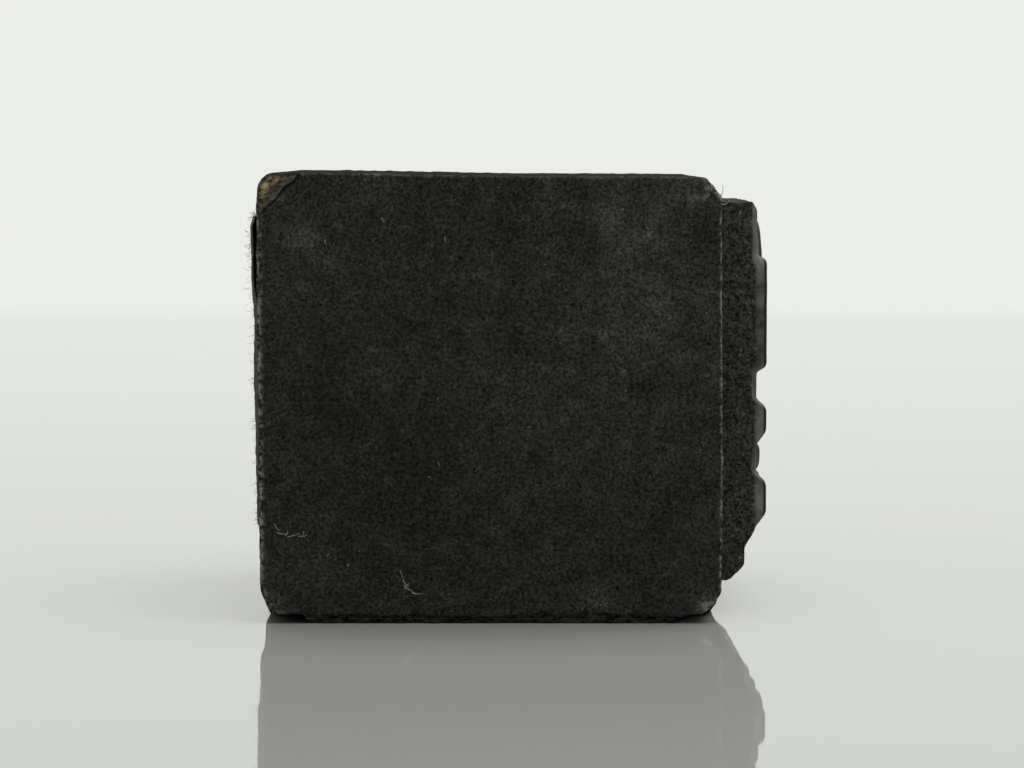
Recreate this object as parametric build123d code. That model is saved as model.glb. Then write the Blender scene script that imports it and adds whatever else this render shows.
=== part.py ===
from build123d import *
import math
import os

# Lengths are in millimetres. The stamp lies on one side, as it is put down on a desk:
# +X leaves the printing face, +Z is up, and the origin is the middle of the side it lies on.

# Wooden block, and how far each of its four long corners is worn away
block_length = 25.0
block_depth = 24.4
block_height = 24.4
arris_radius = 0.45
corner_blend = 0.3
label_head_radius = 0.9
label_foot_run = 0.7
label_foot_rise = 1.5
die_head_run = 0.83
die_head_drop = 1.05
die_foot_run = 0.75
die_foot_rise = 1.3
die_foot_ramp_run = 0.9
die_foot_ramp_rise = 0.3

# Film of rubber cement, set in from the edges of the rubber
cement_thickness = 0.1
cement_inset = 0.4

# Rubber sheet, cut square round the design, with a bevel along its lower edge
die_width = 15.6
die_height = 20.7
sheet_thickness = 1.42
foot_bevel_run = 0.8
foot_bevel_rise = 0.85
foot_bevel_blend = 0.3

# Raised ground that carries the design. It is cut close on three sides, so its skirt shows
# whole only above the lower edge of the sheet.
ground_rise = 0.59
ground_skirt = 0.87
ground_side_inset = 0.45
ground_head_inset = 0.45
ground_foot_inset = 2.85

# Printing relief: every raised line ends in one plane, and its walls lean back by the draft
relief_rise = 0.63
relief_draft = 27.0
envelope_inset = 0.35

# Ring with a plum blossom in it, measured up from the middle of the sheet
ring_rise = 5.4
ring_radius = 3.9
ring_line = 0.55
petal_count = 5
petal_radius = 1.0
petal_place_radius = 2.0
heart_radius = 0.45
vein_width = 0.22
vein_length = 1.0
vein_depth = 0.3

# Open frame on both sides of the ring, with a round bud in each half
frame_rise = 4.45
frame_length = 14.9
frame_height = 5.83
frame_line = 0.9
frame_corner_radius = 0.5
ring_clearance = 0.5
bud_radius = 0.6
bud_place = 5.4

# Bands of flowing water. The upper and lower ones cross the whole sheet, and the middle one
# is short, with round ends.
wave_length = 5.2
wave_height = 0.3
wave_draft = 40.0
upper_band_rise = -1.5
upper_band_line = 0.85
middle_band_rise = -3.58
middle_band_line = 0.6
middle_band_half_waves = 3
lower_band_rise = -5.71
lower_band_line = 1.1

# Paper label on the far end. Its upper part has come away from the wood.
label_width = 17.2
label_height = 17.1
label_rise = 1.3
paper_thickness = 0.25
paste_thickness = 0.15
paste_inset = 0.25
loose_height = 5.1
lift = 0.2
lift_run = 1.5

# Worked out from the sizes above
block_face_x = block_length / 2
block_middle_z = block_height / 2
die_back_x = block_face_x + cement_thickness
ground_x = die_back_x + sheet_thickness + ground_rise
relief_x = ground_x + relief_rise
relief_depth = ground_rise + relief_rise
relief_root_x = relief_x - relief_depth
relief_lean = relief_depth * math.tan(math.radians(relief_draft))
wave_lean = relief_depth * math.tan(math.radians(wave_draft))
label_end_x = -block_length / 2


def worn_outline():
    """Side view of the block, with its four corners as they are worn."""
    left = -block_length / 2
    right = block_length / 2
    points = [
        (left + label_foot_run, 0),
        (right - die_foot_run - die_foot_ramp_run, 0),
        (right - die_foot_run, die_foot_ramp_rise),
        (right, die_foot_rise),
        (right, block_height - die_head_drop),
        (right - die_head_run, block_height),
        (left, block_height),
        (left, label_foot_rise),
    ]
    radii = [corner_blend] * len(points)
    radii[points.index((left, block_height))] = label_head_radius
    return FilletPolyline(*points, radius=radii, close=True)


def mount_block():
    """Wooden block with rubbed corners and rounded edges round its two broad sides."""
    side = Plane.XZ * make_face(worn_outline())
    block = extrude(side, block_depth / 2, both=True)
    broad_sides = block.faces().sort_by(Axis.Y)
    return fillet(broad_sides[0].edges() + broad_sides[-1].edges(), arris_radius)


def mount_cement():
    """Thin film that holds the rubber to the block."""
    width = die_width - 2 * cement_inset
    height = die_height - 2 * cement_inset
    film = extrude(Plane.YZ * Rectangle(width, height), cement_thickness)
    return Pos(block_face_x, 0, block_middle_z) * film


def on_sheet(height_x, shape, y=0, rise=0):
    """Places a flat shape across the sheet, at a height above it and a rise from its middle."""
    return Plane.YZ.offset(height_x) * Pos(y, block_middle_z + rise) * shape


def leaning_disc(top_radius, lean, y, rise):
    """Round raised spot with leaning walls, from the sheet up to the printing plane."""
    foot = on_sheet(relief_root_x, Circle(top_radius + lean), y, rise)
    top = on_sheet(relief_x, Circle(top_radius), y, rise)
    return loft([foot, top], ruled=True)


def leaning_slab(length, height, radius, lean):
    """Oblong with round corners that widens towards the sheet, or narrows if the lean is negative."""
    foot = RectangleRounded(length + 2 * lean, height + 2 * lean, radius + lean)
    top = RectangleRounded(length, height, radius)
    sections = [on_sheet(relief_root_x, foot, 0, frame_rise), on_sheet(relief_x, top, 0, frame_rise)]
    return loft(sections, ruled=True)


def blossom():
    """Five separate round petals, each with a cut vein, round a small heart."""
    shapes = leaning_disc(heart_radius, relief_lean, 0, ring_rise)
    vein_middle = petal_place_radius - petal_radius + vein_length / 2
    for turn in range(petal_count):
        angle = 90 + turn * 360 / petal_count
        y = petal_place_radius * math.cos(math.radians(angle))
        rise = ring_rise + petal_place_radius * math.sin(math.radians(angle))
        vein = Rot(0, 0, angle) * Pos(vein_middle, 0) * Rectangle(vein_length, vein_width)
        cut = extrude(on_sheet(relief_x - vein_depth, vein, 0, ring_rise), vein_depth)
        shapes += leaning_disc(petal_radius, relief_lean, y, rise) - cut
    return shapes


def ring():
    """Ring round the blossom. Inside it the wall leans down to the ground."""
    well_radius = ring_radius - ring_line
    well_lean = relief_rise * math.tan(math.radians(relief_draft))
    well_top = on_sheet(relief_x, Circle(well_radius), 0, ring_rise)
    well_foot = on_sheet(ground_x, Circle(well_radius - well_lean), 0, ring_rise)
    well = loft([well_foot, well_top], ruled=True)
    return leaning_disc(ring_radius, relief_lean, 0, ring_rise) - well


def bud_frame():
    """Frame left open where the ring stands, with a bud in each half."""
    inner_length = frame_length - 2 * frame_line
    inner_height = frame_height - 2 * frame_line
    frame = leaning_slab(frame_length, frame_height, frame_corner_radius, relief_lean)
    frame -= leaning_slab(inner_length, inner_height, frame_corner_radius + relief_lean, -relief_lean)
    room = Circle(ring_radius + ring_clearance)
    frame -= extrude(on_sheet(relief_root_x, room, 0, ring_rise), relief_depth)
    for y in (-bud_place, bud_place):
        frame += leaning_disc(bud_radius, relief_lean, y, frame_rise)
    return frame


def water_band(rise, line, half_waves):
    """Wavy raised line: one leaning section carried along half waves that join smoothly."""
    step = wave_length / 2
    start = -half_waves * step / 2
    waves = []
    for turn in range(half_waves):
        first = (start + turn * step, 0)
        last = (start + (turn + 1) * step, 0)
        waves.append(SagittaArc(first, last, wave_height if turn % 2 else -wave_height))
    path = on_sheet(relief_root_x, Wire(waves), 0, rise)
    points = [
        (0, -line / 2 - wave_lean),
        (relief_depth, -line / 2),
        (relief_depth, line / 2),
        (0, line / 2 + wave_lean),
    ]
    across = Plane(origin=path @ 0, x_dir=(1, 0, 0), z_dir=path % 0)
    return sweep(across * make_face(Polyline(*points, close=True)), path)


def flowing_water():
    """Two bands across the sheet, and a short one between them."""
    long_half_waves = 2 * math.ceil(die_width / wave_length) + 2
    shapes = water_band(upper_band_rise, upper_band_line, long_half_waves)
    shapes += water_band(lower_band_rise, lower_band_line, long_half_waves)
    shapes += water_band(middle_band_rise, middle_band_line, middle_band_half_waves)
    end_y = middle_band_half_waves * wave_length / 2 / 2
    for y in (-end_y, end_y):
        shapes += leaning_disc(middle_band_line / 2, wave_lean, y, middle_band_rise)
    return shapes


def relief():
    """Every raised line of the design. Its outer ends lean back as its walls do."""
    shapes = ring() + blossom() + bud_frame() + flowing_water()
    top = Rectangle(die_width - 2 * envelope_inset, die_height)
    foot = Rectangle(die_width - 2 * envelope_inset + 2 * relief_lean, die_height)
    return shapes & loft([on_sheet(relief_root_x, foot), on_sheet(relief_x, top)], ruled=True)


def raised_ground():
    """Low platform under the design, with a sloping skirt all round."""
    width = die_width - 2 * ground_side_inset
    height = die_height - ground_head_inset - ground_foot_inset
    rise = (ground_foot_inset - ground_head_inset) / 2
    foot = on_sheet(relief_root_x, Rectangle(width + 2 * ground_skirt, height + 2 * ground_skirt), 0, rise)
    top = on_sheet(ground_x, Rectangle(width, height), 0, rise)
    return loft([foot, top], ruled=True)


def cut_blank():
    """Square block of rubber as the knife leaves it, with the bevel along its lower edge."""
    foot_z = block_middle_z - die_height / 2
    bevel_x = die_back_x + sheet_thickness - foot_bevel_run
    points = [
        (die_back_x, foot_z),
        (bevel_x, foot_z),
        (bevel_x + foot_bevel_run, foot_z + foot_bevel_rise),
        (relief_x, foot_z + foot_bevel_rise),
        (relief_x, foot_z + die_height),
        (die_back_x, foot_z + die_height),
    ]
    outline = Plane.XZ * make_face(Polyline(*points, close=True))
    blank = extrude(outline, die_width / 2, both=True)
    levels = blank.edges().filter_by(Axis.Y).group_by(Axis.Z)
    bevel_ends = levels[0].sort_by(Axis.X)[-1:] + levels[1].sort_by(Axis.X)[:1]
    return fillet(bevel_ends, foot_bevel_blend)


def rubber_die():
    """Rubber sheet with its raised ground and relief, cut square with a knife."""
    sheet = extrude(on_sheet(die_back_x, Rectangle(die_width, die_height)), sheet_thickness)
    return (sheet + raised_ground() + relief()) & cut_blank()


def index_label():
    """Paper label with its upper part bent away from the wood."""
    foot_z = block_middle_z + label_rise - label_height / 2
    head_z = foot_z + label_height
    bend_z = head_z - loose_height
    middle_x = label_end_x - paste_thickness - paper_thickness / 2
    stuck = Line((middle_x, foot_z), (middle_x, bend_z))
    knee = (middle_x - lift / 2, bend_z + lift_run / 2)
    away = TangentArc(stuck @ 1, knee, tangent=(0, 1))
    back = TangentArc(away @ 1, (middle_x - lift, bend_z + lift_run), tangent=away % 1)
    loose = Line(back @ 1, (middle_x - lift, head_z))
    path = Plane.XZ * Wire([stuck, away, back, loose])
    across = Plane(origin=path @ 0, x_dir=(1, 0, 0), z_dir=path % 0)
    return sweep(across * Rectangle(paper_thickness, label_width), path)


def label_paste():
    """Film of paste under the part of the label that is still stuck down."""
    width = label_width - 2 * paste_inset
    foot_z = block_middle_z + label_rise - label_height / 2 + paste_inset
    height = label_height - loose_height - 2 * paste_inset
    film = extrude(Plane.YZ * Rectangle(width, height), paste_thickness)
    return Pos(label_end_x - paste_thickness, 0, foot_z + height / 2) * film


pieces = {
    "mount_block": mount_block(),
    "mount_cement": mount_cement(),
    "rubber_die": rubber_die(),
    "index_label": index_label(),
    "label_paste": label_paste(),
}

os.makedirs("parts", exist_ok=True)
for name, piece in pieces.items():
    export_step(piece, f"parts/{name}.step")
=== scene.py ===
import math

import bpy
import numpy as np
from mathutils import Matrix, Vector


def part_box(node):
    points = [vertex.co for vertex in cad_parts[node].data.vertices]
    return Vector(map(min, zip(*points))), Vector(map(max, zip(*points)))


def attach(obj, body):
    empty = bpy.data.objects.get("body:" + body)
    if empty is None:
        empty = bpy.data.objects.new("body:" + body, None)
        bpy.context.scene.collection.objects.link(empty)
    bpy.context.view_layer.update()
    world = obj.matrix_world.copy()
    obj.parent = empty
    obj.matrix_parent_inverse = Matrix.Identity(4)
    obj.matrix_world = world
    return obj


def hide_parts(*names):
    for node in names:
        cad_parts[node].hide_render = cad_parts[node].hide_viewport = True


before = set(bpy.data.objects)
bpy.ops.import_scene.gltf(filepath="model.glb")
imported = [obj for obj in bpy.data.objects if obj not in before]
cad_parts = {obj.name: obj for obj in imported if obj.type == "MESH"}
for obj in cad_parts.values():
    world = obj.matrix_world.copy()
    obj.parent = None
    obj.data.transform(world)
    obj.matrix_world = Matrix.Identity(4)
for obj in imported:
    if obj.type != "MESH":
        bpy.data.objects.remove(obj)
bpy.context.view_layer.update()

# Mount block: a small cube of beech, sawn and sanded, then blackened all over by stamping ink.
# Handling has rubbed its upright arrises grey (that pale colour is also a painted highlight), worn
# one corner back to bare wood, and knocked off the edge that it lies on.
mm = 0.001
block_low, block_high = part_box("mount_block")
half_length = (block_high.x - block_low.x) / 2
half_depth = (block_high.y - block_low.y) / 2
half_height = (block_high.z - block_low.z) / 2
middle_z = block_low.z + half_height
half_across = (half_length + half_height) / 2

# Where straight wear cuts each long corner, and the front of the foot once more: the label's side
# as -1 or the die's as 1, the foot as -1 or the head as 1, and the cut's run and rise
corner_cuts = [
    (1, 1, 0.83 * mm, 1.05 * mm),
    (1, -1, 0.4 * mm, 0.6 * mm),
    (-1, -1, 0.35 * mm, 0.5 * mm),
    (-1, 1, 0.3 * mm, 0.72 * mm),
    (-1, 1, 0.53 * mm, 0.53 * mm),
    (-1, 1, 0.72 * mm, 0.3 * mm),
]
front_foot_cuts = [
    (1, -1, 1.1 * mm, 1.6 * mm),
    (-1, -1, 0.64 * mm, 1.9 * mm),
]
corner_softness = 0.05 * mm
least_facing = 0.2

# How the sanded sides swell, from foot to head, and how the head drops from label to die
label_side_heights = np.array([1.8, 5.2, 9.4, 15.4, 22.6]) * mm
label_side_swell = np.array([0.0, 0.02, 0.05, 0.09, 0.11]) * mm
die_side_heights = np.array([1.8, 2.9, 7.9, 14.4, 22.6]) * mm
die_side_swell = np.array([0.0, 0.0, 0.06, 0.0, -0.05]) * mm
head_places = np.array([-12.0, -8.0, -4.9, 0.5, 10.0, 11.2, 12.0]) * mm
head_drop = np.array([0.0, 0.02, 0.08, 0.18, 0.22, 0.24, 0.3]) * mm

# The powers by which the worn outline and the swell of a side fade towards the middle
outline_power = 6
swell_power = 4

# The worn front of the foot: how far back the wear goes, where the block still touches the table,
# how high it stands clear outside that, and the ledge that was split off above the table
front_wear_back = 7.5 * mm
front_wear_front = 11.5 * mm
foot_from = -9.8 * mm
foot_from_fade = 0.4 * mm
foot_to = 9.6 * mm
foot_to_fade = 1.2 * mm
foot_clearance = 0.5 * mm
clearance_fade = 0.62 * mm
ledge_height = 0.48 * mm
ledge_depth = 0.13 * mm
ledge_back = 1.0 * mm
ledge_step = 0.06 * mm
crest_wave = 0.2 * mm
crest_wave_length = 1.3 * mm
crest_notch = 0.12 * mm
crest_notch_length = 0.4 * mm
splinter_length = 0.35 * mm
splinter_share = 0.8

# The corner that is worn to bare wood: how far the facet reaches along each arris, how unevenly,
# and how nearly it is a plane
facet_reach = np.array([2.3, 1.1, 2.35]) * mm
facet_corner = np.array([-half_length, -half_depth, block_high.z])
facet_unevenness = 0.1
facet_wave_length = 0.7 * mm
facet_flatness = 0.92

# Arrises are finely and unevenly rounded
arris_radius = 0.17 * mm
arris_unevenness = 0.07 * mm
arris_wave_length = 1.9 * mm
long_lines = 164
deep_lines = 60
line_crowding = 0.74


def crowded_lines(half, count):
    """Places from -half to half that crowd towards both ends: a blend of even steps and a sine."""
    share = np.linspace(-1, 1, count + 1)
    return half * ((1 - line_crowding) * share + line_crowding * np.sin(share * math.pi / 2))


def lattice_skin(lines_x, lines_y, lines_z):
    """The closed outer skin of a box lattice: its nodes, and its four-sided faces turned outward."""
    nodes = np.stack(np.meshgrid(lines_x, lines_y, lines_z, indexing="ij"), axis=-1)
    outer = np.zeros(nodes.shape[:3], bool)
    outer[[0, -1]] = True
    outer[:, [0, -1]] = True
    outer[:, :, [0, -1]] = True
    number = np.full(outer.shape, -1)
    number[outer] = np.arange(outer.sum())
    faces = []
    for axis in range(3):
        for end in (0, -1):
            side = np.take(number, end, axis=axis)
            quads = np.stack([side[:-1, :-1], side[1:, :-1], side[1:, 1:], side[:-1, 1:]], axis=-1)
            turned = (end == 0) != (axis == 1)
            faces.append(quads.reshape(-1, 4)[:, ::-1 if turned else 1])
    return nodes[outer], np.concatenate(faces)


def lattice_noise(points, spacing, seed):
    """Smooth noise from -1 to 1: random values on a cubic lattice, blended between its nodes."""
    size = 48
    lattice = np.random.default_rng(seed).uniform(-1, 1, (size, size, size))
    cell = np.floor(points / spacing).astype(int)
    share = points / spacing - cell
    share = share * share * (3 - 2 * share)
    total = np.zeros(len(points))
    for corner in np.ndindex(2, 2, 2):
        weight = np.prod(np.where(corner, share, 1 - share), axis=1)
        total += weight * lattice[tuple(((cell + corner) % size).T)]
    return total


def outward_normals(points, quads):
    """Unit normal at each point: the sum of the cross products of its faces' diagonals."""
    first, second, third, fourth = (points[quads[:, i]] for i in range(4))
    across = np.cross(third - first, fourth - second)
    total = np.zeros(points.shape)
    for i in range(4):
        np.add.at(total, quads[:, i], across)
    return total / np.linalg.norm(total, axis=1, keepdims=True)


def ramp(values, start, end):
    """0 up to start, 1 from end, and a smooth step between them."""
    share = np.clip((values - start) / (end - start), 0, 1)
    return share * share * (3 - 2 * share)


def rim(inset_a, inset_b, width):
    """1 on an arris, and a bell curve of the distance from it over a width."""
    return np.exp(-(inset_a ** 2 + inset_b ** 2) / width ** 2)


def rounded(inset_a, inset_b, radius):
    """Rounds the arris between two faces: points within a radius of both go to a quarter circle."""
    core_a = np.maximum(inset_a, radius)
    core_b = np.maximum(inset_b, radius)
    away_a = inset_a - core_a
    away_b = inset_b - core_b
    pull = radius / np.hypot(away_a, away_b)
    return core_a + away_a * pull, core_b + away_b * pull


def worn_radius(angle, cuts):
    """Reach of the worn outline along each ray: the soft least of the reaches of its straight lines.
    A line's reach is its distance over the cosine of the angle to it, kept off zero."""
    lines = [(1, 0, half_length), (-1, 0, half_length), (0, 1, half_height), (0, -1, half_height)]
    for side, level, run, rise in cuts:
        slope = math.hypot(run, rise)
        away = (rise * half_length + run * (half_height - rise)) / slope
        lines.append((side * rise / slope, level * run / slope, away))
    total = np.zeros(angle.shape)
    for normal_x, normal_z, away in lines:
        facing = np.maximum(normal_x * np.cos(angle) + normal_z * np.sin(angle), least_facing)
        total += np.exp(-(away / facing - half_length) / corner_softness)
    return half_length - corner_softness * np.log(total)


def label_side(z):
    """Place along X of the label's side: the block's end, and beyond it the swell at each height."""
    return -half_length - np.interp(z, label_side_heights, label_side_swell)


def worn_block():
    """Box whose arrises are rounded, whose outline is pulled in along rays to the worn one, and whose
    sides swell: both by a power of the distance from the middle. Last, its head drops."""
    plain, quads = lattice_skin(
        crowded_lines(half_length, long_lines),
        crowded_lines(half_depth, deep_lines),
        crowded_lines(half_height, long_lines),
    )
    x, y, z = plain.T
    radius = arris_radius + arris_unevenness * lattice_noise(plain, arris_wave_length, seed=1)
    reach = np.maximum(abs(x) / half_length, abs(z) / half_height)
    inset, end_inset = rounded((1 - reach) * half_across, half_depth - abs(y), radius)
    reach = np.where(reach > 0, reach, 1)
    square_x = x / reach
    square_z = z / reach
    angle = np.arctan2(square_z, square_x)
    share = 1 - inset / half_across
    bend = share ** outline_power
    front_wear = ramp(-y, front_wear_back, front_wear_front)
    even_wear = worn_radius(angle, corner_cuts)
    worn = even_wear + front_wear * (worn_radius(angle, corner_cuts + front_foot_cuts) - even_wear)
    points = np.empty(plain.shape)
    points[:, 0] = share * (square_x + bend * (worn * np.cos(angle) - square_x))
    points[:, 1] = np.sign(y) * (half_depth - end_inset)
    points[:, 2] = share * (square_z + bend * (worn * np.sin(angle) - square_z)) + middle_z
    label_part = np.interp(points[:, 2], label_side_heights, label_side_swell)
    die_part = np.interp(points[:, 2], die_side_heights, die_side_swell)
    towards_side = abs(points[:, 0] / half_length) ** swell_power
    drop = np.interp(points[:, 0], head_places, head_drop)
    points[:, 0] += np.where(x < 0, -label_part, die_part) * towards_side
    points[:, 2] *= 1 - drop / block_high.z
    return points, quads, plain


def split_foot(points, plain):
    """Lifts the foot clear of the table outside its touching part, by a smooth step along X and an
    exponential of the height, and sets the ledge back over it. Gives what lies below its crest."""
    x, y, z = points.T
    front_wear = ramp(-plain[:, 1], front_wear_back, front_wear_front)
    outside = ramp(-x, -foot_from, -foot_from + foot_from_fade) + ramp(x, foot_to, foot_to + foot_to_fade)
    points[:, 2] += front_wear * outside * foot_clearance * np.exp(-z / clearance_fade)
    crest = ledge_height + crest_wave * lattice_noise(plain, crest_wave_length, seed=5)
    crest += crest_notch * lattice_noise(plain, crest_notch_length, seed=7)
    below = ramp(-z, -crest - ledge_step, -crest + ledge_step)
    uneven = 1 + splinter_share * lattice_noise(plain, splinter_length, seed=6)
    at_front = ramp(-y, half_depth - ledge_back, half_depth)
    points[:, 1] += below * uneven * ledge_depth * (1 - outside) * at_front
    return below * (y < 0)


def bare_facet(points):
    """Flattens the worn corner onto a plane through its three reaches, and gives the plane's share:
    under 1 inside the facet, 1 on its edge, growing outwards."""
    inset = abs(points - facet_corner)
    share = (inset / facet_reach).sum(axis=1)
    share += facet_unevenness * lattice_noise(points, facet_wave_length, seed=8)
    steep = 1 / facet_reach
    deep = np.maximum(1 - share, 0) / (steep ** 2).sum()
    points -= facet_flatness * deep[:, None] * steep * np.sign(facet_corner)
    return share


block_points, block_quads, block_plain = worn_block()
split = split_foot(block_points, block_plain)
facet = bare_facet(block_points)

# Where handling rubbed it, from the insets of the plain box: on the arrises round the label's end
# and the die's end, on the level ones, and on the front of the four long corners. On the upright
# arrises at both ends this pale colour is also a painted highlight, the light that glances off them.
label_rub_width = 0.2 * mm
die_rub_width = 0.12 * mm
die_rub = 0.8
level_rub_width = 0.1 * mm
level_rub = 0.12
corner_rub_width = 0.9 * mm
corner_rub_depth = 1.6 * mm
corner_rub = 0.9
insets = (np.array([half_length, half_depth, half_height]) - abs(block_plain)).T
inset_x, inset_y, inset_z = insets
label_end_rub = rim(inset_x, inset_y, label_rub_width)
die_end_rub = die_rub * rim(inset_x, inset_y, die_rub_width)
# The pale rub on the upright arrises at both ends doubles as a painted highlight
rub = np.maximum.reduce([
    np.where(block_plain[:, 0] < 0, label_end_rub, die_end_rub),
    level_rub * rim(inset_y, inset_z, level_rub_width),
    corner_rub * rim(inset_x, inset_z, corner_rub_width) * np.exp(-inset_y / corner_rub_depth),
])

# Small-scale roughness of worn wood, stronger at the arrises, as displacement along the normal.
# It fades out on the side that the block lies on.
grit_depth = 0.012 * mm
grit_length = 0.45 * mm
arris_grit_depth = 0.05 * mm
arris_grit_length = 0.3 * mm
arris_grit_reach = 0.5 * mm
smooth_below = 0.02 * mm
rough_above = 0.12 * mm
from_arris = np.hypot(*np.sort(insets, axis=0)[:2])
near_arris = np.exp(-(from_arris / arris_grit_reach) ** 2)
block_normals = outward_normals(block_points, block_quads)
grit = lattice_noise(block_points, grit_length, seed=3) * grit_depth
grit += lattice_noise(block_points, arris_grit_length, seed=4) * arris_grit_depth * near_arris
grit *= ramp(block_points[:, 2], smooth_below, rough_above)
block_points += block_normals * grit[:, None]

# Where dust lies thicker, as soft patches on the broad face: place along X and Z and reach, all in
# millimetres, and amount. They are full to a small depth behind the face and gone halfway back.
dust_patches = np.array([
    (8.2, 20.4, 4.6, 0.52),
    (10.8, 14.5, 3.6, 0.3),
    (6.4, 21.8, 1.1, 0.7),
    (8.6, 20.6, 0.9, 0.6),
    (4.5, 16.2, 1.0, 0.55),
    (8.8, 17.0, 1.1, 0.55),
    (11.1, 14.3, 1.0, 0.5),
    (11.3, 5.3, 0.9, 0.5),
    (5.7, 1.5, 0.8, 0.7),
    (10.4, 23.4, 0.9, 0.8),
    (6.3, 16.0, 0.5, 0.7),
    (-9.9, 21.0, 0.5, 0.6),
    (-5.7, 14.4, 1.1, 0.5),
    (-6.3, 23.9, 0.8, 0.9),
    (-9.6, 20.4, 2.6, 0.45),
    (11.6, 21.0, 1.2, -0.55),
    (3.0, 12.0, 5.0, 0.2),
    (-8.5, 12.0, 1.9, -0.2),
    (-4.5, 8.0, 4.4, -0.3),
    (-10.5, 3.9, 2.4, 0.2),
]) * [mm, mm, mm, 1]
full_dust_depth = 1.0 * mm
dust = np.zeros(len(block_points))
near_front = ramp(-block_points[:, 1], 0, half_depth - full_dust_depth)
for patch_x, patch_z, reach, amount in dust_patches:
    away = np.hypot(block_points[:, 0] - patch_x, block_points[:, 2] - patch_z)
    dust += near_front * amount * np.exp(-(away / reach) ** 2)

# Sockets of a colour Mix: how far it goes, from which colour to which, and its result
mix_share = 0
mix_from = 6
mix_to = 7
mixed = 2


def linear(code):
    """Linear colour of an sRGB hex code, by the sRGB curve: straight near black, then a power."""
    shares = [int(code[i:i + 2], 16) / 255 for i in (0, 2, 4)]
    return [s / 12.92 if s <= 0.04045 else ((s + 0.055) / 1.055) ** 2.4 for s in shares] + [1]


def add(nodes, kind, inputs, output=0, **settings):
    """Adds a shader node with its own settings, and gives one of its outputs. Inputs are values, or
    outputs of other nodes to link. A socket goes by name, or by number where others share its name."""
    node = nodes.new(kind)
    for name, value in settings.items():
        setattr(node, name, value)
    for socket, value in inputs.items():
        if isinstance(value, bpy.types.NodeSocket):
            node.id_data.links.new(value, node.inputs[socket])
        else:
            node.inputs[socket].default_value = value
    return node.outputs[output] if node.outputs else None


def new_material(name):
    """An empty material, its nodes and its object coordinates."""
    material = bpy.data.materials.new(name)
    material.use_nodes = True
    nodes = material.node_tree.nodes
    nodes.clear()
    return material, nodes, add(nodes, "ShaderNodeTexCoord", {}, output="Object")


def dusty_ink(nodes, place):
    """Black ink under clouds of dust from olive to cool grey, thicker in the patches."""
    cloud_size = 2.0 * mm
    tint_size = 1.3 * mm
    dust_everywhere = 0.5
    ink = linear("262624")
    olive_dust = linear("4f5046")
    cool_dust = linear("4d4e4a")
    cloud = add(nodes, "ShaderNodeTexNoise", {
        "Vector": place, "Scale": 1 / cloud_size, "Detail": 6, "Roughness": 0.72,
    })
    cloud = add(nodes, "ShaderNodeMapRange", {"Value": cloud, "From Min": 0.25, "From Max": 0.8})
    amount = add(nodes, "ShaderNodeAttribute", {}, output="Fac", attribute_name="dust")
    amount = add(nodes, "ShaderNodeMath", {0: amount, 1: dust_everywhere}, operation="ADD")
    amount = add(nodes, "ShaderNodeMath", {0: amount, 1: cloud}, operation="MULTIPLY", use_clamp=True)
    tint = add(nodes, "ShaderNodeTexNoise", {
        "Vector": place, "Scale": 1 / tint_size, "Detail": 4, "Roughness": 0.6,
    })
    tint = add(nodes, "ShaderNodeMapRange", {"Value": tint, "From Min": 0.38, "From Max": 0.62})
    dusty = add(nodes, "ShaderNodeMix", {
        mix_share: tint, mix_from: olive_dust, mix_to: cool_dust,
    }, output=mixed, data_type="RGBA")
    return add(nodes, "ShaderNodeMix", {
        mix_share: amount, mix_from: ink, mix_to: dusty,
    }, output=mixed, data_type="RGBA")


def inked_grain(nodes, place):
    """How much lighter or darker the inked grain is: fine grain, pale slanting fibres, dark pores and
    pale blotches, multiplied. Grain and pores are drawn twice as coarse as they are, so they show."""
    grain_size = 0.17 * mm
    blotch_size = 0.8 * mm
    fibre_size = 0.2 * mm
    fibre_slant = (0, 1.2, 0)
    fibre_stretch = (0.7, 1, 1)
    pore_size = 0.26 * mm
    grain = add(nodes, "ShaderNodeTexNoise", {
        "Vector": place, "Scale": 1 / grain_size, "Detail": 1, "Roughness": 0.7,
    })
    grain = add(nodes, "ShaderNodeMapRange", {
        "Value": grain, "From Min": 0.3, "From Max": 0.7, "To Min": 0.4, "To Max": 1.65,
    })
    slanted = add(nodes, "ShaderNodeMapping", {
        "Vector": place, "Rotation": fibre_slant, "Scale": fibre_stretch,
    })
    fibre = add(nodes, "ShaderNodeTexNoise", {
        "Vector": slanted, "Scale": 1 / fibre_size, "Detail": 2, "Roughness": 0.6,
    })
    fibre = add(nodes, "ShaderNodeMapRange", {
        "Value": fibre, "From Min": 0.64, "From Max": 0.73, "To Min": 1, "To Max": 2.8,
    })
    pore = add(nodes, "ShaderNodeTexNoise", {"Vector": place, "Scale": 1 / pore_size, "Detail": 1})
    pore = add(nodes, "ShaderNodeMapRange", {
        "Value": pore, "From Min": 0.26, "From Max": 0.34, "To Min": 0.3,
    })
    blotch = add(nodes, "ShaderNodeTexNoise", {
        "Vector": place, "Scale": 1 / blotch_size, "Detail": 4, "Roughness": 0.75,
    })
    blotch = add(nodes, "ShaderNodeMapRange", {
        "Value": blotch, "From Min": 0.54, "From Max": 0.68, "To Min": 0.93, "To Max": 1.5,
    })
    for part in (fibre, pore, blotch):
        grain = add(nodes, "ShaderNodeMath", {0: grain, 1: part}, operation="MULTIPLY")
    return grain


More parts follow.
